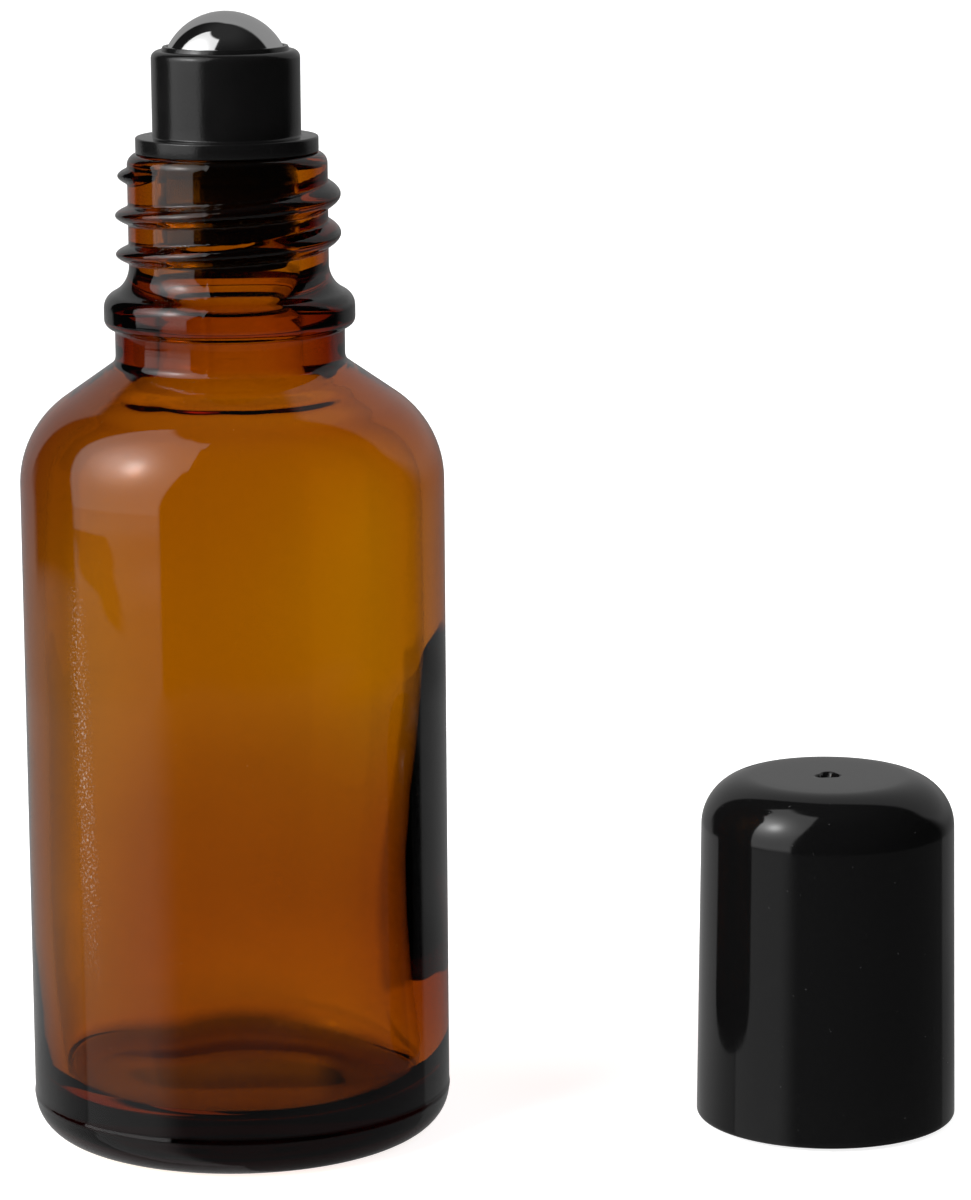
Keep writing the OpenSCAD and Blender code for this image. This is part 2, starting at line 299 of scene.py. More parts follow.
def filled(points, step, zones=()):
    """The outline with points added, so that none lies further than about step from the next.

    zones are (bottom, top, smallest radius, step) for bands of height that need closer rows.
    """
    out = [points[0]]
    for (r0, z0), (r1, z1) in zip(points, points[1:]):
        near = step
        for bottom, top, radius, finer in zones:
            if min(r0, r1) > radius and max(z0, z1) > bottom and min(z0, z1) < top:
                near = finer
        parts = max(1, round(hypot(r1 - r0, z1 - z0) / near))
        for i in range(1, parts + 1):
            out.append((r0 + (r1 - r0) * i / parts, z0 + (z1 - z0) * i / parts))
    return out


def bell(away, width):
    """1 where away is 0, and falling softly to 0 on both sides."""
    return exp(-((away / width) ** 2))


def smooth(value, low, high):
    """0 below low, 1 above high, and a soft step between."""
    t = min(1, max(0, (value - low) / (high - low)))
    return t * t * (3 - 2 * t)


def blended(value, start, step, reach, values):
    """A smooth curve near evenly spaced values."""
    near = [bell(value - start - i * step, reach) for i in range(len(values))]
    return sum(weight * v for weight, v in zip(near, values)) / sum(near)


# Meshes


def turned(name, outline, steps, closed=False):
    """A mesh turned round the Z axis: a ring of points is moved to the outline and spun.

    The outline is a list of (radius, height). A closed one joins its last point to its first.
    """
    bpy.ops.object.select_all(action="DESELECT")
    bpy.ops.mesh.primitive_circle_add(vertices=len(outline), radius=MM)
    piece = bpy.context.object
    piece.name = piece.data.name = name
    for vertex, (r, z) in zip(piece.data.vertices, outline):
        vertex.co = (r, 0, z)
    last = {0, len(outline) - 1}
    for edge in piece.data.edges:
        edge.select = not closed and set(edge.vertices) == last
    for vertex in piece.data.vertices:
        vertex.select = False
    bpy.ops.object.mode_set(mode="EDIT")
    bpy.context.tool_settings.mesh_select_mode = (False, True, False)
    if not closed:
        bpy.ops.mesh.delete(type="EDGE")
    bpy.context.tool_settings.mesh_select_mode = (True, False, False)
    bpy.ops.mesh.select_all(action="SELECT")
    bpy.ops.mesh.spin(steps=steps, angle=FULL_TURN, center=(0, 0, 0), axis=(0, 0, 1))
    bpy.ops.mesh.select_all(action="SELECT")
    bpy.ops.mesh.remove_doubles(threshold=WELD)
    bpy.ops.mesh.normals_make_consistent(inside=False)
    bpy.ops.object.mode_set(mode="OBJECT")
    return piece


def shaped(piece, move):
    """Moves each point, as a sculpting brush does.

    move(turn, r, z) gives the new radius and height of the point in that direction.
    """
    for vertex in piece.data.vertices:
        x, y, z = vertex.co
        r = hypot(x, y)
        if r < WELD:
            continue
        new_r, new_z = move(atan2(y, x), r, z)
        vertex.co = (x * new_r / r, y * new_r / r, new_z)
    piece.data.update()


def thread_rise(turn, z, thread, turns, top, half_width, sway):
    """How far a screw thread stands out of its wall at that direction and height."""
    # The ends start this share of the depth inside the wall and come out in this part of a turn
    foot, fade = 0.15, 0.14
    # The share of its width that the thread has at the very ends
    narrow = 0.5
    roundness = 1.1
    best = 0
    back = ((thread.end - turn) / FULL_TURN) % 1
    while back <= turns:
        part = sin(pi / 2 * min(1, (turns - back) / fade, back / fade))
        rise = thread.depth * ((1 + foot) * part - foot)
        half = (half_width + sway * cos(turn)) * (narrow + (1 - narrow) * part)
        across = (z - top + thread.pitch * back) / half
        if abs(across) < 1:
            best = max(best, rise * (1 - across * across) ** roundness)
        back += 1
    return best


def seam_share(turn, r, at):
    """1 on the two mould seams and 0 beside them."""
    half = 0.12 * MM
    away = abs((turn - at + pi / 2) % pi - pi / 2) * r
    return bell(away, half)


def dressed(piece, node, body, make_material):
    """Gives a finished piece its material and its place in the frame."""
    piece.data.materials.append(make_material(bpy.context.scene.roll_on_finish))
    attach(piece, body)
    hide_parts(node)


def shade(piece, limit=None):
    """Smooth shading, all over or with edges sharper than the limit kept."""
    bpy.ops.object.select_all(action="DESELECT")
    piece.select_set(True)
    bpy.context.view_layer.objects.active = piece
    if limit is None:
        bpy.ops.object.shade_smooth()
    else:
        bpy.ops.object.shade_smooth_by_angle(angle=radians(limit))


# Materials


def arithmetic(operation, swapped=False):
    """A method that joins a value and another, or a number, by a Math node."""

    def method(self, other):
        return self.tree.math(operation, *((other, self) if swapped else (self, other)))

    return method


class Value:
    """A socket of a node. Arithmetic on it adds Math nodes."""

    def __init__(self, tree, socket):
        self.tree, self.socket = tree, socket

    __add__ = __radd__ = arithmetic("ADD")
    __mul__ = __rmul__ = arithmetic("MULTIPLY")
    __sub__, __rsub__ = arithmetic("SUBTRACT"), arithmetic("SUBTRACT", swapped=True)
    __truediv__, __pow__ = arithmetic("DIVIDE"), arithmetic("POWER")


class Tree:
    """The nodes of one material or world."""

    def __init__(self, owner):
        owner.use_nodes = True
        self.nodes, self.links = owner.node_tree.nodes, owner.node_tree.links
        self.nodes.clear()

    def node(self, kind, settings=None, sockets=None, out=0):
        """Adds a node and gives its output, or a list of them where out is a tuple.

        The settings are made before the sockets get their values or links.
        """
        made = self.nodes.new(kind)
        for key, value in (settings or {}).items():
            setattr(made, key, value)
        for key, value in (sockets or {}).items():
            if isinstance(value, Value):
                self.links.new(value.socket, made.inputs[key])
            else:
                made.inputs[key].default_value = value
        if isinstance(out, tuple):
            return [Value(self, made.outputs[key]) for key in out]
        return Value(self, made.outputs[out])

    def output(self, kind="ShaderNodeOutputMaterial", **shaders):
        """Ends the tree in an output node, with a shader for each socket that is named."""
        made = self.nodes.new(kind)
        for name, shader in shaders.items():
            self.links.new(shader.socket, made.inputs[name])

    def place(self):
        """The place in the object's own frame, in metres."""
        return self.node("ShaderNodeTexCoord", out="Object")

    def xyz(self, vector):
        """The three numbers of a vector."""
        return self.node("ShaderNodeSeparateXYZ", None, {0: vector}, out=("X", "Y", "Z"))

    def rays(self, *kinds):
        """Facts about the ray: 1 or 0 for its kind, or a number for a depth."""
        return self.node("ShaderNodeLightPath", out=kinds)

    def math(self, operation, *terms):
        return self.node("ShaderNodeMath", {"operation": operation}, dict(enumerate(terms)))

    def step(self, value, low, high):
        """0 at low, 1 at high, and a soft step between."""
        settings = {"interpolation_type": "SMOOTHSTEP"}
        sockets = {"Value": value, "From Min": low, "From Max": high}
        return self.node("ShaderNodeMapRange", settings, sockets)

    def within(self, *bounds):
        """1 inside all the bounds. Each is (value, 0 from here, 1 from here) in millimetres."""
        return prod(self.step(value, low * MM, high * MM) for value, low, high in bounds)

    def mix(self, factor, a, b):
        """Two colours mixed."""
        sockets = {0: factor, 6: rgba(a), 7: rgba(b)}
        return self.node("ShaderNodeMix", {"data_type": "RGBA"}, sockets, out=2)

    def mix_shader(self, factor, a, b):
        """Two shaders mixed."""
        return self.node("ShaderNodeMixShader", None, {0: factor, 1: a, 2: b})

    def noise(self, place, scale, detail=2.0, roughness=0.5):
        """Noise with that many waves per metre."""
        sockets = {"Vector": place, "Scale": scale, "Detail": detail, "Roughness": roughness}
        return self.node("ShaderNodeTexNoise", None, sockets)

    def bump(self, height, distance, normal=None):
        """A normal for a surface raised by height times a distance in metres."""
        sockets = {"Height": height, "Distance": distance, "Strength": 1.0}
        if normal:
            sockets["Normal"] = normal
        return self.node("ShaderNodeBump", None, sockets)

    def diffuse(self, rgb):
        return self.node("ShaderNodeBsdfDiffuse", None, {"Color": rgba(rgb)})

    def transparent(self, rgb):
        return self.node("ShaderNodeBsdfTransparent", None, {"Color": rgba(rgb)})

    def principled(self, **sockets):
        """The main shader. Words of a socket's name are joined by an underscore."""
        named = {key.replace("_", " "): value for key, value in sockets.items()}
        return self.node("ShaderNodeBsdfPrincipled", None, named)


def rgba(rgb):
    return (*rgb, 1.0)


def new_material(name):
    """A material and its empty tree."""
    material = bpy.data.materials.new(name)
    return material, Tree(material)


def amber_glass(finish):
    """Clear amber glass: faint waves, dust, painted shade that darkens the base, and colour that
    grows with depth.
    """
    dusty, nearly_black, lamp_tint = (0.8, 0.76, 0.7), (0.002, 0.001, 0.0), (0.9, 0.9, 0.9)
    wave_height = 0.05 * MM
    dust_edge, dust_roughness = (0.76, 0.82), 0.2
    speck_edge, speck_share = (0.52, 0.72), 0.18
    hidden_share = 0.9
    material, tree = new_material("amber_glass")
    place = tree.place()
    x, y, z = tree.xyz(place)
    from_axis = tree.math("SQRT", x * x + y * y)
    waves = tree.noise(place, scale=110, detail=1.0)
    dust = tree.step(tree.noise(place, scale=3200, detail=1.0), *dust_edge)
    # Painted shade: the base is tinted darker, for the dark floor under the bottle that shows
    # through it
    base = tree.within((from_axis, 14.8, 14.0), (z, 5.8, 4.7), (z, 3, 3.6))
    glass = tree.principled(
        Base_Color=tree.mix(base, WHITE, finish.painted_base_shade),
        Transmission_Weight=1.0,
        IOR=finish.glass_ior,
        Roughness=dust * dust_roughness,
        Normal=tree.bump(waves, wave_height),
    )
    # A line of dust up the side that faces the soft box, on an upright plane that leans a little
    along_x, along_y, lean, offset = 0.743, 0.669, 0.035, 1.1 * MM
    across = tree.math("ABSOLUTE", x * along_x - y * along_y + z * lean - offset)
    height = ((z, 12, 26), (z, 48, 40))
    line = tree.within((across, 1.3, 0), (x, -9, -10), (from_axis, 15.6, 16), *height)
    specks = tree.step(tree.noise(place, scale=5200, detail=1.0), *speck_edge) * line
    surface = tree.mix_shader(specks * speck_share, glass, tree.diffuse(dusty))
    # Painted dark reflection: to reflection rays the side towards the cap is nearly black, so the
    # cap's gloss shows it dark
    mirrored, shadow = tree.rays("Is Reflection Ray", "Is Shadow Ray")
    outside = 1 - tree.node("ShaderNodeNewGeometry", out="Backfacing")
    hidden = mirrored * outside * tree.within((x, 4, 8)) * hidden_share
    surface = tree.mix_shader(hidden, surface, tree.diffuse(nearly_black))
    # Lamps reach what is inside the glass, and the volume colours their light on the way
    surface = tree.mix_shader(shadow, surface, tree.transparent(lamp_tint))
    sockets = {"Color": rgba(finish.glass), "Density": finish.glass_density}
    volume = tree.node("ShaderNodeVolumeAbsorption", None, sockets)
    tree.output(Surface=surface, Volume=volume)
    return material


def housing_plastic(finish):
    """Satin black polyethylene with a fine moulded grain."""
    worn = (0.02, 0.0195, 0.019)
    fleck_edge, fleck_share, patch_share = (0.74, 0.8), 0.4, 0.2
    grain_height = 0.012 * MM
    spread = 0.12
    material, tree = new_material("black_housing_plastic")
    place = tree.place()
    grain = tree.noise(place, scale=5200, detail=3.0, roughness=0.6)
    patches = tree.noise(place, scale=420, detail=3.0)
    fleck = tree.step(tree.noise(place, scale=2600, detail=1.0), *fleck_edge)
    tint = fleck * fleck_share + patches * patch_share
    shader = tree.principled(
        Base_Color=tree.mix(tint, finish.housing, worn),
        Roughness=patches * spread + (finish.housing_roughness - spread / 2),
        IOR=PLASTIC_IOR,
        Normal=tree.bump(grain, grain_height),
    )
    tree.output(Surface=shader)
    return material


def polished_steel(finish):
    """Polished steel with hairlines from rolling in its cup."""
    dimmer = [0.93 * c for c in finish.steel]
    smear_edge, smear_roughness = (0.35, 0.8), 0.06
    stretch, line_height = (1, 14, 14), 0.0006 * MM
    material, tree = new_material("polished_steel")
    place = tree.place()
    smear = tree.noise(place, scale=300, detail=3.0)
    stretched = tree.node("ShaderNodeMapping", None, {"Vector": place, "Scale": stretch})
    lines = tree.noise(stretched, scale=900)
    shader = tree.principled(
        Base_Color=tree.mix(smear, finish.steel, dimmer),
        Metallic=1.0,
        Roughness=tree.step(smear, *smear_edge) * smear_roughness + finish.steel_roughness,
        Normal=tree.bump(lines, line_height),
    )
    tree.output(Surface=shader)
    return material


def cap_plastic(finish):
    """Glossy black polypropylene with the faint waves of its mould and fine wear."""
    dusty = (0.05, 0.05, 0.05)
    dust_edge, dust_share, dust_roughness = (0.76, 0.82), 0.6, 0.2
    wear_edge, wear_roughness = (0.45, 0.75), 0.07
    wave_height, grain_height = 0.04 * MM, 0.0008 * MM
    material, tree = new_material("black_cap_plastic")
    place = tree.place()
    waves = tree.noise(place, scale=70)
    grain = tree.noise(place, scale=2400)
    wear = tree.step(tree.noise(place, scale=500, detail=4.0, roughness=0.65), *wear_edge)
    dust = tree.step(tree.noise(place, scale=3000, detail=1.0), *dust_edge)
    rough = wear * wear_roughness + dust * dust_roughness
    shader = tree.principled(
        Base_Color=tree.mix(dust * dust_share, finish.cap, dusty),
        Roughness=rough + finish.cap_roughness,
        IOR=PLASTIC_IOR,
        Normal=tree.bump(grain, grain_height, tree.bump(waves, wave_height)),
    )
    tree.output(Surface=shader)
    return material


# Pieces


def glass_outline(s):
    """The glass from the middle of its base up the outside to the rim, and down the inside."""
    turn = 90 - degrees(s.slope)
    fillet_r = s.neck_radius + s.neck_fillet
    fillet_z = s.neck_bottom + s.neck_fillet * tan(radians(turn / 2))
    # The hollow corner under the bead touches the bead's lower edge, which starts at low
    corner_r, low_r = s.neck_radius + s.bead_corner, s.bead_radius - s.bead_low
    low_z = s.bead_bottom + s.bead_low
    corner_z = low_z - sqrt((s.bead_corner + s.bead_low) ** 2 - (corner_r - low_r) ** 2)
    low = degrees(atan2(corner_z - low_z, corner_r - low_r))
    # The bead's upper edge and the flare touch in the direction meet
    bead_r = s.bead_radius - s.bead_high
    flare_r = s.root_radius + s.flare
    flare_z = s.bead_middle + sqrt((s.bead_high + s.flare) ** 2 - (flare_r - bead_r) ** 2)
    meet = degrees(atan2(flare_z - s.bead_middle, flare_r - bead_r))
    # Inside, the shoulder's curve runs into the ceiling, and the ceiling into the throat
    inner = s.body_radius - s.wall
    inner_arc = s.shoulder - s.wall
    inner_turn = 90 - degrees(s.ceiling)
    inner_r = s.body_radius - s.shoulder + inner_arc * cos(radians(inner_turn))
    inner_z = s.side_top + inner_arc * sin(radians(inner_turn))
    throat_z = inner_z + (inner_r - s.bore) * tan(s.ceiling)
    hug = tan(radians(inner_turn / 2))
    punt_rings = 14
    punt = [(i / punt_rings, (1 + cos(pi * i / punt_rings)) / 2) for i in range(punt_rings + 1)]
    floor_r = inner - s.floor_edge
    floor_rings, floor_rise = 8, 0.4 * MM
    floor = [
        (floor_r * (1 - i / floor_rings), s.floor + floor_rise * sin(pi / 2 * i / floor_rings) ** 2)
        for i in range(1, floor_rings + 1)
    ]
    outside = (
        [(s.punt_radius * r, s.punt * z) for r, z in punt]
        + arc(s.body_radius - s.heel, s.heel, s.heel, -90, 0, 14)
        + [(s.body_radius, s.heel_line + 3 * s.heel_line_half)]
        + arc(s.body_radius - s.shoulder, s.side_top, s.shoulder, 0, turn, 22)
        + arc(fillet_r, fillet_z, s.neck_fillet, 180 + turn, 180, 8)
        + arc(corner_r, corner_z, s.bead_corner, 180, 180 + low, 6)
        + arc(low_r, low_z, s.bead_low, low, 0, 7)
        + arc(bead_r, s.bead_middle, s.bead_high, 0, meet, 12)
        + arc(flare_r, flare_z, s.flare, 180 + meet, 180, 14)
        + arc(s.root_radius - s.rim, s.height - s.rim, s.rim, 0, 90, 9)
    )
    inside = (
        arc(s.bore + s.rim_inner, s.height - s.rim_inner, s.rim_inner, 90, 180, 6)
        + arc(s.bore + s.throat, throat_z + s.throat * hug, s.throat, 180, 180 + inner_turn, 10)
        + arc(inner - inner_arc, s.side_top, inner_arc, inner_turn, 0, 18)
        + arc(floor_r, s.floor + s.floor_edge, s.floor_edge, 0, -90, 10)
        + floor
    )
    return outside + inside


def neck_point(s, thread, turn, r, z):
    """A point of the neck, with the thread and the mould seam."""
    if r < s.bore + MM:
        return r, z
    out = thread.seam * seam_share(turn, r, thread.seam_at)
    if r > s.root_radius - ON_WALL and z > s.bead_middle + 2.5 * MM:
        sizes = (thread.turns, thread.top, thread.half_width, thread.sway)
        out += thread_rise(turn, z, thread, *sizes)
    return r + out, z


def outer_point(s, thread, turn, r, z):
    """A point of the body's outside, with the line over the heel and the mould seam."""
    line = s.heel_line_rise * bell(z - s.heel_line, s.heel_line_half)
    if r < s.body_radius - s.heel:
        line = 0
    seam = thread.body_seam * seam_share(turn, r, thread.seam_at)
    return r + line + seam * smooth(z, s.heel, 2 * s.heel), z


def inner_point(s, turn, r, z):
    """A point of the body's inside: slow ripples, the uneven wall and the fold."""
    ripple_height, ripple_size, ripple_stretch = 0.12 * MM, 9 * MM, 0.6
    calm_from, calm_to, on_floor = 54 * MM, 60 * MM, 0.8
    # Near the axis the wall changes less, and from this radius on in full
    full_radius = 8 * MM
    # Shares of the way to the right, the left and the front: nothing up to here, all from there
    right_from, left_from, fold_from = (0, 0.85), (0.25, 0.95), (0.3, 0.95)
    x, y = r * cos(turn), r * sin(turn)
    place = Vector((x, y, ripple_stretch * z)) / ripple_size
    ripple = ripple_height * noise.noise(place) * (1 - smooth(z, calm_from, calm_to))
    if z < s.floor + 0.6 * MM and r < s.body_radius - s.wall - s.floor_edge:
        return r, z + on_floor * ripple
    to_right, to_left = smooth(cos(turn), *right_from), smooth(-cos(turn), *left_from)
    rows = (s.front_wall, s.right_wall, s.left_wall)
    reach = 0.85 * s.wall_step
    front, right, left = [blended(z, s.wall_start, s.wall_step, reach, row) for row in rows]
    wall = front + to_right * (right - front) + to_left * (left - front)
    crease = 0
    if z > s.side_top:
        patch, patch_share = 3 * MM, 0.8
        uneven = 1 + patch_share * noise.noise((x / patch, y / patch, 0))
        crease = s.fold * uneven * smooth(-sin(turn), *fold_from)
        crease *= bell(r - s.fold_radius, s.fold_width)
    return r + (ripple + s.wall - wall) * min(1, r / full_radius), z - crease


def glass_point(s, thread, turn, r, z):
    """Where a point of the even glass goes on the real, uneven one."""
    if z > s.neck_bottom:
        return neck_point(s, thread, turn, r, z)
    if z < s.side_top:
        is_outer = r > s.body_radius - s.wall / 2 or z < s.floor - 0.1 * MM
    else:
        from_arc = hypot(r - (s.body_radius - s.shoulder), z - s.side_top)
        is_outer = from_arc > s.shoulder - s.wall / 2 and r > s.neck_radius - MM
    if is_outer:
        return outer_point(s, thread, turn, r, z)
    return inner_point(s, turn, r, z)


def housing_outline(s):
    """The housing as a closed loop, from the plug's tip up the outside and down the socket."""
    edge = 0.15 * MM
    fin_places = (0.6, 0.4, 0.2)
    rim = s.seat
    flange_top = rim + s.flange_height
    cup_top = rim + s.cup_height
    lip_top = cup_top + s.lip_height
    tip = rim - s.plug_height
    lead_top = tip + s.lead
    half, flat = s.fin_band / 2, s.fin_band / 6
    fins = []
    for part in fin_places:
        z = rim - part * s.plug_height
        fins += [(s.plug, z - half), (s.fin, z - flat), (s.fin, z + flat), (s.plug, z + half)]
    lip_turn = degrees(asin((lip_top - BALL_Z) / s.socket))
    lip_r = s.socket * cos(radians(lip_turn))
    feed_turn = -degrees(asin(sqrt(1 - (s.feed / s.socket) ** 2)))
    return (
        [(s.hollow_tip, tip)]
        + arc(s.plug_tip - edge, tip + edge, edge, -90, 0, 3)
        + [(s.plug, lead_top)]
        + fins
        + [(s.plug, rim)]
        + arc(s.flange - edge, rim + edge, edge, -90, 0, 4)
        + arc(s.flange - edge, flange_top - edge, edge, 0, 90, 4)
        + arc(s.cup + edge, flange_top + edge, edge, 270, 180, 4)
        + arc(s.cup - s.cup_edge, cup_top - s.cup_edge, s.cup_edge, 0, 90, 8)
        + [(lip_r + s.lip_width, cup_top), (lip_r + 0.8 * s.lip_width, lip_top - edge / 2)]
        + [(lip_r + 0.7 * s.lip_width, lip_top), (lip_r + edge / 3, lip_top)]
        + arc(0, BALL_Z, s.socket, lip_turn, feed_turn, 34)
        + [(s.feed, s.hollow_top), (s.hollow, s.hollow_top), (s.hollow, lead_top)]
    )


def socket_point(s, turn, r, z):
    """Where a point of the housing goes: four grooves run down the socket to its hole."""
    groove_start, groove_end = s.feed + 0.05 * MM, s.socket - 0.86 * MM
    quarter = FULL_TURN / 4
    on_bowl = abs(hypot(r, z - BALL_Z) - s.socket) < ON_WALL and z < BALL_Z
    across = abs((turn + quarter / 2) % quarter - quarter / 2) * r
    if on_bowl and groove_start < r < groove_end and across < s.groove / 2:
        return r, BALL_Z - s.socket
    return r, z


def cap_outline(s):
    """The cap with its mouth at zero: the inside from the ceiling down, then up the outside."""
    seal_outer = s.seal + s.seal_wall
    ceiling = s.height - s.ceiling
    hollow = s.top - s.wall
    bend = s.edge - s.wall
    lip = 0.2 * MM
    gate_rings = (2.4, 1.9, 1.6, 1.4, 1.3, 1.2, 1.1, 1, 0.9, 0.8, 0.7, 0.6, 0.45, 0.3, 0.15, 0)
    inside = (
        [(0, ceiling), (s.seal, ceiling)]
        + [(s.seal, s.seal_bottom + lip), (s.seal + lip, s.seal_bottom)]
        + [(seal_outer - lip, s.seal_bottom), (seal_outer, s.seal_bottom + lip)]
        + [(seal_outer, ceiling)]
        + arc(hollow - bend, ceiling - bend, bend, 90, 0, 8)
        + [(hollow, s.skirt_height + s.skirt - hollow), (s.skirt, s.skirt_height)]
        + arc(s.skirt + s.bevel, s.bevel, s.bevel, 180, 270, 4)
    )
    outside = (
        arc(s.mouth - s.bevel, s.bevel, s.bevel, -90, 0, 5)
        + arc(s.top - s.edge, s.height - s.edge, s.edge, 0, 90, 22)
        + [(ring * s.gate, s.height) for ring in gate_rings]
    )
    return inside + outside


def cap_point(s, thread, turn, r, z):
    """Where a point of the even cap goes: the thread inside and the moulding mark in the top."""
    if abs(r - s.skirt) < ON_WALL and z < s.skirt_height - 0.1 * MM:
        sizes = (thread.cap_turns, thread.cap_top, thread.cap_half_width, 0)
        return r - thread_rise(turn, z, thread, *sizes), z
    if z > s.height - 0.05 * MM and r < 3 * s.gate:
        # The mark has three lobes and is a little oblong
        lobes, oblong = 0.16 * cos(3 * turn + 0.5 * pi), 0.06 * sin(2 * turn)
        edge = s.gate * (1 + lobes + oblong)
        return r, z - s.gate_depth * (1 - smooth(r, 0.72 * edge, 1.12 * edge))
    return r, z


class RollOnOperator:
    """What the operators share."""

    bl_options = {"REGISTER", "UNDO"}


class MakeBottle(RollOnOperator, bpy.types.Operator):
    """Build the glass bottle with its neck thread, mould seams and uneven inner wall"""

    bl_idname = "roll_on.bottle"
    bl_label = "Glass bottle"

    def execute(self, context):
        s, thread = context.scene.roll_on_bottle, context.scene.roll_on_thread
        on_thread = (s.bead_middle + 3 * MM, s.height - 0.8 * MM, s.bore + MM, 0.1 * MM)
        round_fold = (s.side_top + 5 * MM, s.neck_bottom, s.bore, 0.15 * MM)
        line, half = s.heel_line, s.heel_line_half
        on_line = (line - 2 * half, line + 2 * half, s.body_radius - s.heel, half / 2)
        outline = filled(glass_outline(s), 2 * MM, [on_thread, round_fold, on_line])
        piece = turned("bottle_glass", outline, GLASS_STEPS)
        shaped(piece, partial(glass_point, s, thread))
        shade(piece)
        dressed(piece, "bottle", "bottle", amber_glass)
        return {"FINISHED"}


class MakeHousing(RollOnOperator, bpy.types.Operator):
    """Build the roller housing with its cup, flange, finned plug and grooved socket"""

    bl_idname = "roll_on.housing"
    bl_label = "Roller housing"

    def execute(self, context):
        s = context.scene.roll_on_housing
        outline = filled(housing_outline(s), 0.8 * MM)
        piece = turned("housing_plastic", outline, PLASTIC_STEPS, closed=True)
        shaped(piece, partial(socket_point, s))
        shade(piece, SHARP)
        dressed(piece, "roller_housing", "housing", housing_plastic)
        return {"FINISHED"}


class MakeBall(RollOnOperator, bpy.types.Operator):
    """Build the steel ball where the frame has it"""

    bl_idname = "roll_on.ball"
    bl_label = "Steel ball"

    def execute(self, context):
        half_circle = arc(0, BALL_Z, context.scene.roll_on_ball.radius, -90, 90, 96)
        piece = turned("ball_steel", half_circle, BALL_STEPS)
        shade(piece)
        dressed(piece, "roller_ball", "ball", polished_steel)
        return {"FINISHED"}


class MakeCap(RollOnOperator, bpy.types.Operator):
    """Build the screw cap with its inner thread, sealing ring and moulding mark"""

    bl_idname = "roll_on.cap"
    bl_label = "Screw cap"

    def execute(self, context):
        s, thread = context.scene.roll_on_cap, context.scene.roll_on_thread
        on_thread = (0.4 * MM, s.skirt_height, 0, 0.15 * MM)
        outline = filled(cap_outline(s), 1.5 * MM, [on_thread])
        piece = turned("cap_plastic", outline, PLASTIC_STEPS)
        shaped(piece, partial(cap_point, s, thread))
        middle = (CAP_BOX[0] + CAP_BOX[1]) / 2
        bpy.ops.object.mode_set(mode="EDIT")
        bpy.ops.mesh.select_all(action="SELECT")
        bpy.ops.transform.translate(value=(middle.x, middle.y, CAP_BOX[0].z))
        bpy.ops.object.mode_set(mode="OBJECT")
        shade(piece, SHARP)
        dressed(piece, "cap", "cap", cap_plastic)
        return {"FINISHED"}


# Stage


def glow(tree, around, up, middle, spread):
    """A round glow: 1 in its middle, and fading with the distance both ways."""
    across = (around - middle[0]) ** 2 * (-1 / spread[0])
    upwards = (up - middle[1]) ** 2 * (-1 / spread[1])
    return tree.math("EXPONENT", across + upwards)


def dark_wedge(tree, around, up):
    """The dark wedge between the soft box and its picture in the table."""
    dark, blur = 0.85, 0.1
    start, knee, end = 91, 71, (56, 64)
    upper, upper_slope, past_knee = 10.2, 0.015, 0.05
    lower, lower_slope = 10.6, 0.035
    bent = past_knee * tree.math("MAXIMUM", knee - around, 0)
    above = up + upper + upper_slope * (start - around) + bent
    below = up + lower + lower_slope * (start - around)
    wedge = tree.step(above, blur, -blur) * tree.step(below, -blur, blur)
    return dark * (wedge * tree.step(around, *end))


def soft_box(tree, around, up):
    """The soft box at the front left, with its bright middle, and its picture in the table."""
    table_edge, top_edge, left_blur = (-12, -12.6), (73, 69), (-1, 2)
    right, right_lean, right_leans = 24, 13, (62, -8)
    left, left_lean, left_leans = 93, 14, (-5, 38)
    # How the right edge is blurred, and what the table adds to that
    right_blur, table_blur = (-1, 1.5), (-8, 10.5)
    low_light, middle_light, high_light = 0.42, 0.53, 0.45
    middle_from, high_from = (-11.6, -9.7), (-9, -8)
    table = tree.step(up, *table_edge)
    from_right = around - right - right_lean * tree.step(up, *right_leans)
    from_left = left + left_lean * tree.step(up, *left_leans) - around
    blur = [table * more + least for more, least in zip(table_blur, right_blur)]
    frame = tree.step(from_right, *blur)
    frame = frame * tree.step(from_left, *left_blur) * tree.step(up, *top_edge)
    panel = low_light + middle_light * tree.step(up, *middle_from)
    panel = panel + high_light * tree.step(up, *high_from)
    for light, middle, spread in ((4.4, (68, 35), (450, 260)), (7.5, (60, 34), (50, 50))):
        panel = panel + light * glow(tree, around, up, middle, spread)
    return frame * panel * (1 - dark_wedge(tree, around, up))


def right_backdrop(tree, back, up):
    """The backdrop at the right, and its dimmer picture in the table."""
    light, more_light, more_from = 0.2, 0.23, (-8, 8)
    edge, blur = 0.69, 0.14
    # Higher up the edge comes forward and gets sharper
    edge_shift, blur_shift, shift_from = 0.32, 0.1, (-8, 30)
    table_edge = (-11.6, -12.2)
    picture, picture_edge = 0.17, (0.64, 0.68)
    near_loss, near_from = 0.3, (-14.4, -15.4)
    far_loss, far_from = 0.75, (-18, -35)
    shift = tree.step(up, *shift_from)
    above = tree.step((back - edge + edge_shift * shift) / (blur - blur_shift * shift), -1, 1)
    above = above * (light + more_light * tree.step(up, *more_from))
    below = tree.step(back, *picture_edge) * picture
    below = below * (1 - near_loss * tree.step(up, *near_from))
    below = below * (1 - far_loss * tree.step(up, *far_from))
    in_table = tree.step(up, *table_edge)
    return (1 - in_table) * above + in_table * below


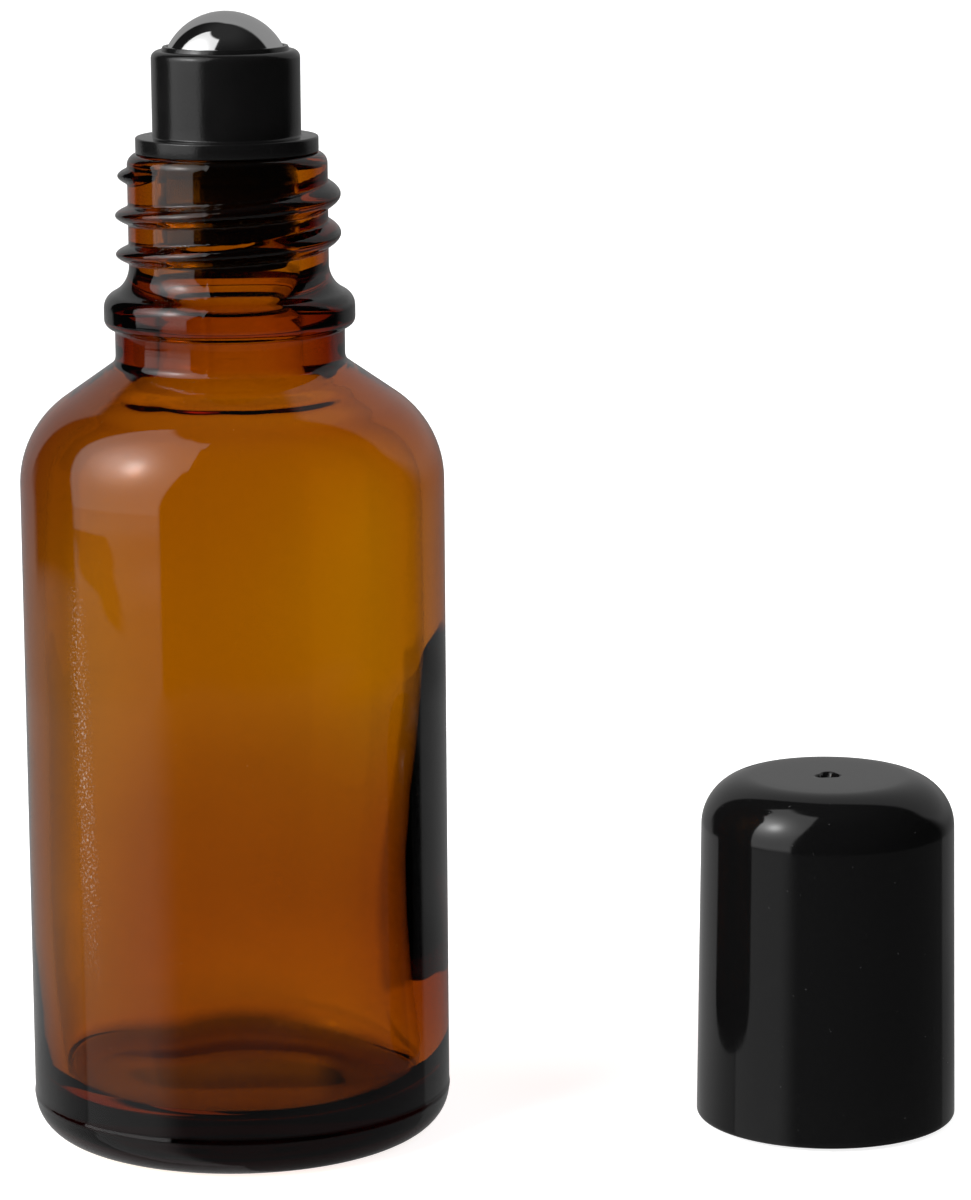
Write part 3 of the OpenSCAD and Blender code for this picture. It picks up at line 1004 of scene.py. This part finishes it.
def left_backdrop(tree, back, around, up):
    """The backdrop at the left, its lower end at the side, and its picture in the table."""
    light, light_edge, low_end = 0.43, (0.33, 0.4), (-8, 8)
    end_light, end_edge, table_edge = 0.36, (128, 136), (-10.7, -11.3)
    picture, picture_edge = 0.22, (91, 96)
    more, more_from = 0.15, (96, 130)
    loss, loss_from = 0.25, (-16, -17)
    wing = tree.step(around, *picture_edge) * (picture + more * tree.step(around, *more_from))
    wing = wing * (1 - loss * tree.step(up, *loss_from))
    in_table, high = tree.step(up, *table_edge), tree.step(up, *low_end)
    low = (1 - in_table) * end_light * tree.step(around, *end_edge) + in_table * wing
    return high * light * tree.step(back, *light_edge) + (1 - high) * low


def backdrop(tree, around, up, x, y):
    """The pale backdrop round the back, which reaches further round at the right."""
    lean, bend, middle = 0.345, 0.189, (-0.05, 0.1)
    back = y + x * lean - tree.math("ABSOLUTE", x) * bend
    right = tree.step(x, *middle)
    at_right, at_left = right_backdrop(tree, back, up), left_backdrop(tree, back, around, up)
    return right * at_right + (1 - right) * at_left


def behind_glass(tree, x, up):
    """What shows straight through the glass: white, and less so low down and at the sides."""
    low_loss, low_from = 0.15, (-14, -16.5)
    right_loss, right_from, right_below = 0.38, (0.18, 0.24), (-11.8, -12.3)
    left_loss, left_from = 0.35, (-0.03, -0.4)
    low, left = tree.step(up, *low_from), tree.step(x, *left_from)
    far_right = tree.step(x, *right_from) * tree.step(up, *right_below)
    return (1 - low_loss * low) * (1 - right_loss * far_right) * (1 - left_loss * left)


def turned_inside(tree, x, y, up):
    """What rays meet that were mirrored inside the glass and leave it to the back."""
    left_light, right_light, border = 0.6, 0.85, (-0.25, -0.15)
    level, slope, curve, blur, to_back = 11.02, 0.58, 3.15, (-0.1, 0.1), (0.2, 0.5)
    horizon = up + level + slope * x + curve * x * x
    right = tree.step(x, *border)
    lit = left_light * (1 - right) + right_light * right * tree.step(horizon, *blur)
    return tree.step(y, *to_back) * lit


def dark_studio(tree, up):
    """The dark studio, a little lighter in the table, more so close by, and overhead."""
    dark, ceiling, ceiling_from = 0.015, 0.03, (45, 80)
    table, table_edge = 0.07, (-11.9, -12.6)
    near_table, near_edge = 0.08, (-16.3, -17.5)
    low = dark + tree.step(up, *table_edge) * table + tree.step(up, *near_edge) * near_table
    return low + tree.step(up, *ceiling_from) * ceiling


def white_room():
    """The world: white to the camera, bright behind the glass, and a dark studio in reflections.

    around is the direction in degrees from the front to the left, and up is that over the level.
    """
    world = bpy.context.scene.world or bpy.data.worlds.new("studio")
    bpy.context.scene.world = world
    tree = Tree(world)
    x, y, z = tree.xyz(tree.node("ShaderNodeTexCoord", out="Generated"))
    around = tree.math("ARCTAN2", x * -1, y * -1) * degrees(1)
    up = tree.math("ARCSINE", z) * degrees(1)
    camera, through, bounces = tree.rays("Is Camera Ray", "Is Transmission Ray", "Glossy Depth")
    straight = through * tree.math("LESS_THAN", bounces, 0.5)
    inner = through - straight
    box = soft_box(tree, around, up)
    mirrored = box + dark_studio(tree, up) + backdrop(tree, around, up, x, y)
    seen = straight * behind_glass(tree, x, up) + inner * (box + turned_inside(tree, x, y, up))
    strength = camera + (1 - camera) * (seen + (1 - through) * mirrored)
    white = tree.node("ShaderNodeBackground", None, {"Strength": strength})
    tree.output("ShaderNodeOutputWorld", Surface=white)


def pale_floor(s):
    """A plain pale floor that the camera sees as white and that keeps a soft shadow."""
    bpy.ops.object.select_all(action="DESELECT")
    bpy.ops.mesh.primitive_grid_add(x_subdivisions=8, y_subdivisions=8, size=s.floor_size)
    floor = bpy.context.object
    floor.name = "studio_floor"
    material, tree = new_material("studio_floor")
    camera, glossy, through = tree.rays("Is Camera Ray", "Is Glossy Ray", "Is Transmission Ray")
    pale, dim = (s.floor,) * 3, (s.floor * s.contact_shade,) * 3
    lit = tree.node("ShaderNodeBsdfDiffuse", None, {"Color": tree.mix(through, pale, dim)})
    lift = tree.node("ShaderNodeEmission", None, {"Strength": camera * s.floor_lift})
    seen = tree.node("ShaderNodeAddShader", None, {0: lit, 1: lift})
    x, y = tree.xyz(tree.place())[:2]
    away = tree.math("SQRT", x * x + y * y)
    passing = tree.math("MAXIMUM", glossy, through * tree.step(away, s.shade_near, s.shade_far))
    tree.output(Surface=tree.mix_shader(passing, seen, tree.transparent(WHITE)))
    floor.data.materials.append(material)


def lamp(name, place, aim, size, power):
    """A soft square lamp that lights surfaces and isn't seen in them."""
    data = bpy.data.lights.new(name, "AREA")
    data.size, data.energy = size, power
    made = bpy.data.objects.new(name, data)
    bpy.context.collection.objects.link(made)
    made.location = place
    made.rotation_euler = (Vector(aim) - Vector(place)).to_track_quat("-Z", "Y").to_euler()
    made.visible_glossy = made.visible_transmission = made.visible_camera = False


class MakeStudio(RollOnOperator, bpy.types.Operator):
    """Set up the camera, the pale floor, the lamps and the white surround"""

    bl_idname = "roll_on.studio"
    bl_label = "Studio"

    def execute(self, context):
        s = context.scene.roll_on_studio
        context.scene.view_settings.view_transform = "Standard"
        data = bpy.data.cameras.new("studio_camera")
        data.sensor_fit, data.sensor_height, data.lens = "VERTICAL", 24, s.lens
        data.clip_start, data.clip_end = 0.01, 20
        camera = bpy.data.objects.new("studio_camera", data)
        context.collection.objects.link(camera)
        place = Matrix.Translation((s.camera_x, -s.camera_distance, s.camera_z))
        tilt = Matrix.Rotation(pi / 2 - s.camera_pitch, 4, "X")
        camera.matrix_world = place @ tilt @ Matrix.Rotation(-s.camera_roll, 4, "Z")
        context.scene.camera = camera
        white_room()
        pale_floor(s)
        aim = (0.02, 0, 0.04)
        lamp("key_lamp", (-0.75, -0.6, 0.75), aim, size=0.6, power=s.key_power)
        lamp("fill_lamp", (0.9, -0.3, 0.9), aim, size=0.9, power=s.fill_power)
        return {"FINISHED"}


PIECES = (MakeBottle, MakeHousing, MakeBall, MakeCap, MakeStudio)


class RollOnPanel(bpy.types.Panel):
    """Buttons for the pieces and the studio"""

    bl_idname = "VIEW3D_PT_roll_on"
    bl_label = "Roll on bottle"
    bl_space_type = "VIEW_3D"
    bl_region_type = "UI"
    bl_category = "Roll on"

    def draw(self, context):
        for piece in PIECES:
            self.layout.operator(piece.bl_idname)


GROUPS = {
    "roll_on_bottle": BottleSizes,
    "roll_on_thread": ThreadSizes,
    "roll_on_housing": HousingSizes,
    "roll_on_ball": BallSizes,
    "roll_on_cap": CapSizes,
    "roll_on_finish": Finishes,
    "roll_on_studio": StudioSettings,
}


def register():
    for name, group in GROUPS.items():
        bpy.utils.register_class(group)
        setattr(bpy.types.Scene, name, PointerProperty(type=group))
    for made in (*PIECES, RollOnPanel):
        bpy.utils.register_class(made)


def unregister():
    for made in reversed((*PIECES, RollOnPanel)):
        bpy.utils.unregister_class(made)
    for name, group in GROUPS.items():
        delattr(bpy.types.Scene, name)
        bpy.utils.unregister_class(group)


def main():
    """Builds every piece and the studio."""
    register()
    bpy.ops.roll_on.bottle()
    bpy.ops.roll_on.housing()
    bpy.ops.roll_on.ball()
    bpy.ops.roll_on.cap()
    bpy.ops.roll_on.studio()


if __name__ == "__main__":
    main()
